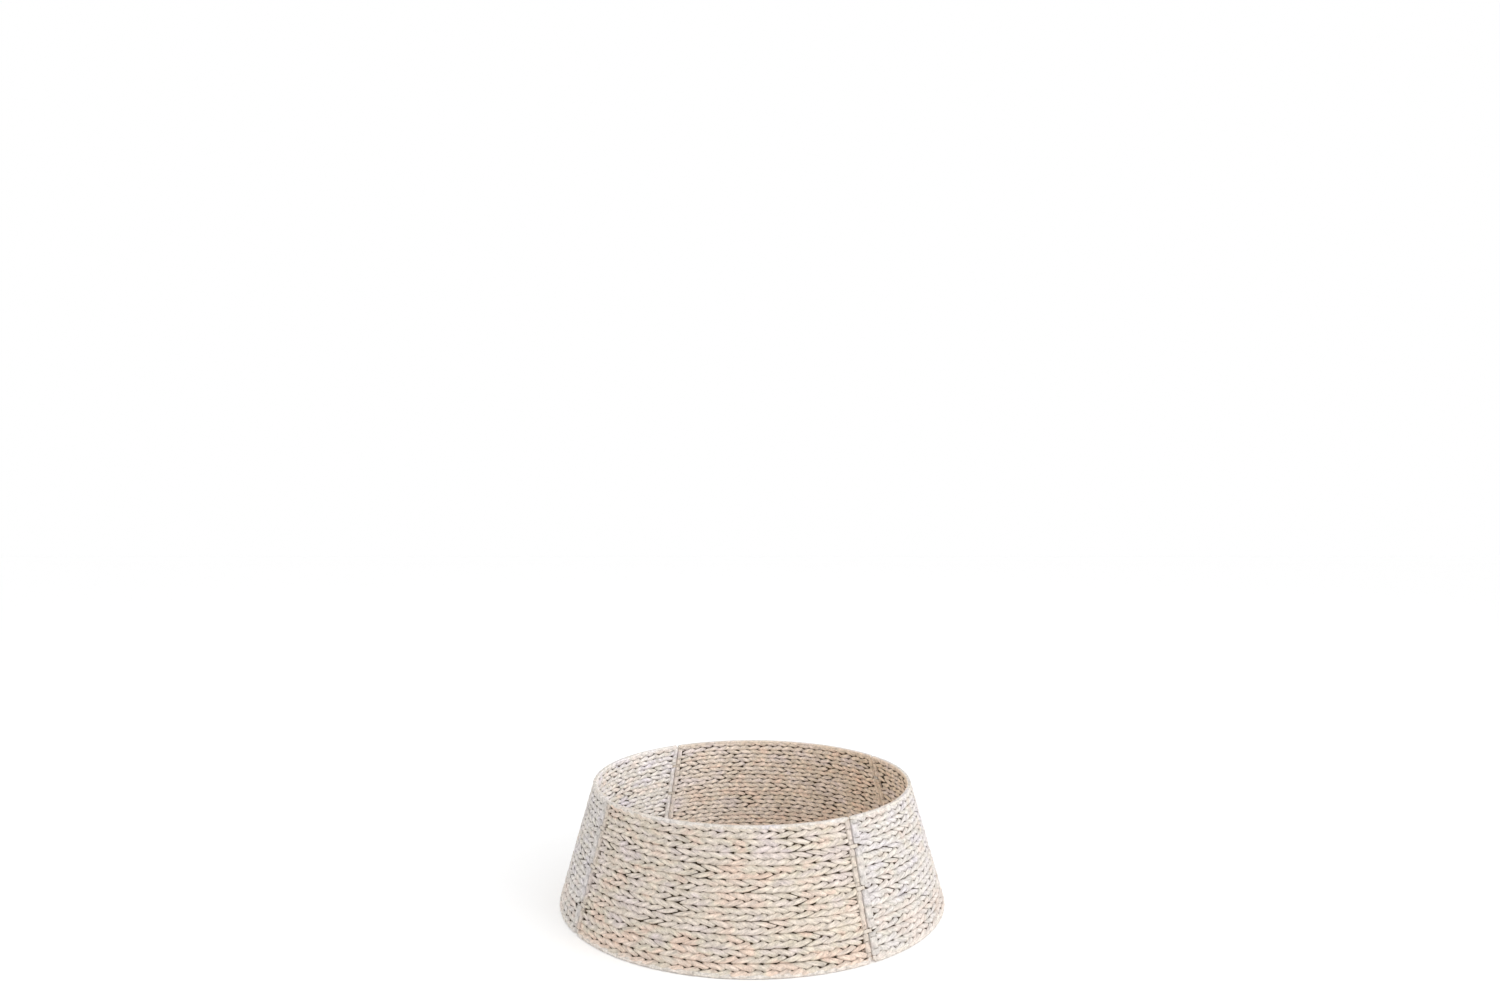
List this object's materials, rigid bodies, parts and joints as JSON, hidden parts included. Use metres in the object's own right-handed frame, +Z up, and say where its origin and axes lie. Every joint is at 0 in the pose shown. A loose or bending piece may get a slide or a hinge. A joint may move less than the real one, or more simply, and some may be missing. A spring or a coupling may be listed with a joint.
{
  "type": "tree skirt",
  "caption": "Tapered ring of woven plait panels on wire frames, hinged at the seams, that stands on the floor round the base of a tree.",
  "frame": {"origin": "on the floor at the middle of the ring", "axes": "+Z up along the ring's axis; -Y toward the front panel's side, with the seams 32.6 degrees round from the axes"},
  "size_m": [0.6584, 0.6584, 0.199],
  "materials": {
    "weave": "whitewashed plaited plant fibre, matte",
    "binding": "whitewashed leaf binding, matte",
    "frame_wire": "drawn steel wire, dull",
    "link_steel": "off-white paint on steel, satin"
  },
  "bodies": {
    "front_panel": {"front_outer_weave": "weave", "front_inner_weave": "weave", "front_side_binding_left": "binding", "front_side_binding_right": "binding", "front_top_binding": "binding", "front_bottom_binding": "binding", "front_wire_loop": "frame_wire", "front_upright_1": "frame_wire", "front_upright_2": "frame_wire", "front_upright_3": "frame_wire", "front_right_link_low": "link_steel", "front_right_link_middle": "link_steel", "front_right_link_high": "link_steel", "front_left_link_low": "link_steel", "front_left_link_middle": "link_steel", "front_left_link_high": "link_steel"},
    "right_panel": {"right_outer_weave": "weave", "right_inner_weave": "weave", "right_side_binding_left": "binding", "right_side_binding_right": "binding", "right_top_binding": "binding", "right_bottom_binding": "binding", "right_wire_loop": "frame_wire", "right_upright_1": "frame_wire", "right_upright_2": "frame_wire", "right_upright_3": "frame_wire"},
    "back_panel": {"back_outer_weave": "weave", "back_inner_weave": "weave", "back_side_binding_left": "binding", "back_side_binding_right": "binding", "back_top_binding": "binding", "back_bottom_binding": "binding", "back_wire_loop": "frame_wire", "back_upright_1": "frame_wire", "back_upright_2": "frame_wire", "back_upright_3": "frame_wire", "back_right_clip_low": "link_steel", "back_right_clip_middle": "link_steel", "back_right_clip_high": "link_steel"},
    "left_panel": {"left_outer_weave": "weave", "left_inner_weave": "weave", "left_side_binding_left": "binding", "left_side_binding_right": "binding", "left_top_binding": "binding", "left_bottom_binding": "binding", "left_wire_loop": "frame_wire", "left_upright_1": "frame_wire", "left_upright_2": "frame_wire", "left_upright_3": "frame_wire", "back_left_link_low": "link_steel", "back_left_link_middle": "link_steel", "back_left_link_high": "link_steel"}
  },
  "joints": [
    {"name": "right_panel_swing", "type": "hinge", "parent": "front_panel", "child": "right_panel", "pos_m": [0.16452, -0.24798, 0.0995], "axis": [0.1472, -0.2301, -0.962], "range_deg": [0, 100]},
    {"name": "left_panel_swing", "type": "hinge", "parent": "front_panel", "child": "left_panel", "pos_m": [-0.25337, -0.1561, 0.0995], "axis": [0.2301, 0.1472, 0.962], "range_deg": [0, 100]},
    {"name": "back_panel_swing", "type": "hinge", "parent": "left_panel", "child": "back_panel", "pos_m": [-0.1561, 0.25337, 0.0995], "axis": [0.1472, -0.2301, 0.962], "range_deg": [0, 100]}
  ]
}
